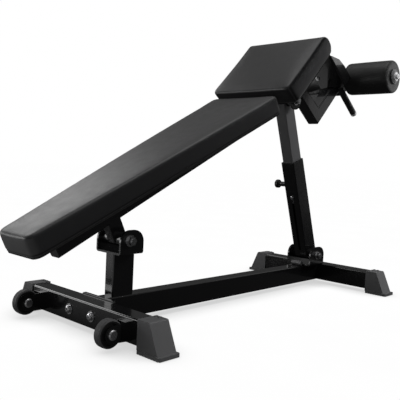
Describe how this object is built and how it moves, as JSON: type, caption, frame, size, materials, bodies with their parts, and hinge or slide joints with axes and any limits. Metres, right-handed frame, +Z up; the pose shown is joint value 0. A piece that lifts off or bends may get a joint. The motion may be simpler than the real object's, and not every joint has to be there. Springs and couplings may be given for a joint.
{
  "type": "decline sit up bench",
  "caption": "Decline sit up bench with a sloping long pad, short thigh pad, foam leg rollers, telescoping rear post and transport wheels",
  "frame": {"origin": "on the floor, on the centre line, under the middle of the length", "axes": "+X from the head end to the leg roller end, +Y to the far side, +Z up"},
  "size_m": [1.72, 0.69, 0.9891],
  "materials": {
    "frame_black": "satin black powder coat",
    "foot_plastic": "dark grey moulded plastic",
    "black_plastic": "black moulded plastic",
    "zinc": "bright zinc plate",
    "inner_steel": "dark grey satin steel",
    "wheel_rubber": "moulded rubber",
    "vinyl": "black upholstery vinyl",
    "board": "black backing board",
    "foam": "closed cell foam"
  },
  "bodies": {
    "base": {"front_cross_tube": "frame_black", "rear_cross_tube": "frame_black", "foot_front_near": "foot_plastic", "foot_front_far": "foot_plastic", "foot_rear_near": "foot_plastic", "foot_rear_far": "foot_plastic", "main_beam": "frame_black", "front_flange": "frame_black", "frame_bolts": "zinc", "frame_washers": "zinc", "frame_nuts": "zinc", "front_post": "frame_black", "front_clevis": "frame_black", "pivot_bolts": "zinc", "pivot_washers": "zinc", "pivot_nuts": "zinc", "wheel_forks": "frame_black", "wheel_bolts": "zinc", "wheel_nuts": "zinc", "post_foot_bracket": "frame_black", "post_stop_bar": "inner_steel"},
    "wheel_near_body": {"wheel_near": "wheel_rubber"},
    "wheel_far_body": {"wheel_far": "wheel_rubber"},
    "post_outer": {"post_lower_tube": "frame_black", "post_head_tube": "frame_black", "post_foot_barrel": "frame_black", "post_guide_sleeve": "black_plastic", "pin_collar": "frame_black"},
    "pull_pin": {"pin_plunger": "zinc", "pin_knob": "black_plastic"},
    "post_inner": {"post_inner_tube": "inner_steel", "post_top_barrel": "frame_black", "post_stop_bolt": "zinc"},
    "seat": {"seat_tube": "frame_black", "seat_tube_plug": "black_plastic", "seat_lug": "frame_black", "front_pivot_barrel": "frame_black", "pad_tabs": "frame_black", "pad_screws": "zinc", "seat_pad_board": "board", "seat_pad_cushion": "vinyl", "thigh_tube": "frame_black", "thigh_pad_board": "board", "thigh_pad_cushion": "vinyl", "post_top_bracket": "frame_black", "post_top_bolt": "zinc", "post_top_nut": "zinc", "roller_arm": "frame_black", "roller_stem": "frame_black", "roller_bracket": "frame_black", "roller_bracket_bolt": "zinc", "roller_axle": "zinc", "roller_end_caps": "foot_plastic", "roller_end_bolts": "zinc", "handle_rod": "zinc", "handle_grip": "foam"},
    "roller_near": {"roller_core_near": "black_plastic", "roller_foam_near": "foam"},
    "roller_far": {"roller_core_far": "black_plastic", "roller_foam_far": "foam"}
  },
  "joints": [
    {"name": "decline", "type": "hinge", "parent": "base", "child": "seat", "pos_m": [-0.51096, 0, 0.257], "axis": [0, 1, 0], "range_deg": [0, 12]},
    {"name": "post_tilt", "type": "hinge", "parent": "base", "child": "post_outer", "pos_m": [0.51655, 0, 0.13], "axis": [0, 1, 0], "range_deg": [0, 2.72]},
    {"name": "post_slide", "type": "slide", "parent": "post_outer", "child": "post_inner", "axis": [0.3388, 0, -0.9408], "range_m": [0, 0.1956]},
    {"name": "pull_pin_slide", "type": "slide", "parent": "post_outer", "child": "pull_pin", "axis": [0, 1, 0], "range_m": [0, 0.012], "stiffness_N_per_m": 900, "springref_m": -0.004},
    {"name": "wheel_near_spin", "type": "hinge", "parent": "base", "child": "wheel_near_body", "pos_m": [-0.69346, -0.203, 0.049], "axis": [0, 1, 0], "continuous": true},
    {"name": "wheel_far_spin", "type": "hinge", "parent": "base", "child": "wheel_far_body", "pos_m": [-0.69346, 0.203, 0.049], "axis": [0, 1, 0], "continuous": true},
    {"name": "roller_near_spin", "type": "hinge", "parent": "seat", "child": "roller_near", "pos_m": [0.76037, -0.124, 0.89912], "axis": [0, 1, 0], "continuous": true},
    {"name": "roller_far_spin", "type": "hinge", "parent": "seat", "child": "roller_far", "pos_m": [0.76037, 0.124, 0.89912], "axis": [0, 1, 0], "continuous": true}
  ],
  "couplings": [
    {"joint": "post_tilt", "follows": "decline", "ratio": 0.22564},
    {"joint": "post_slide", "follows": "decline", "m_per_rad": 0.93362}
  ]
}
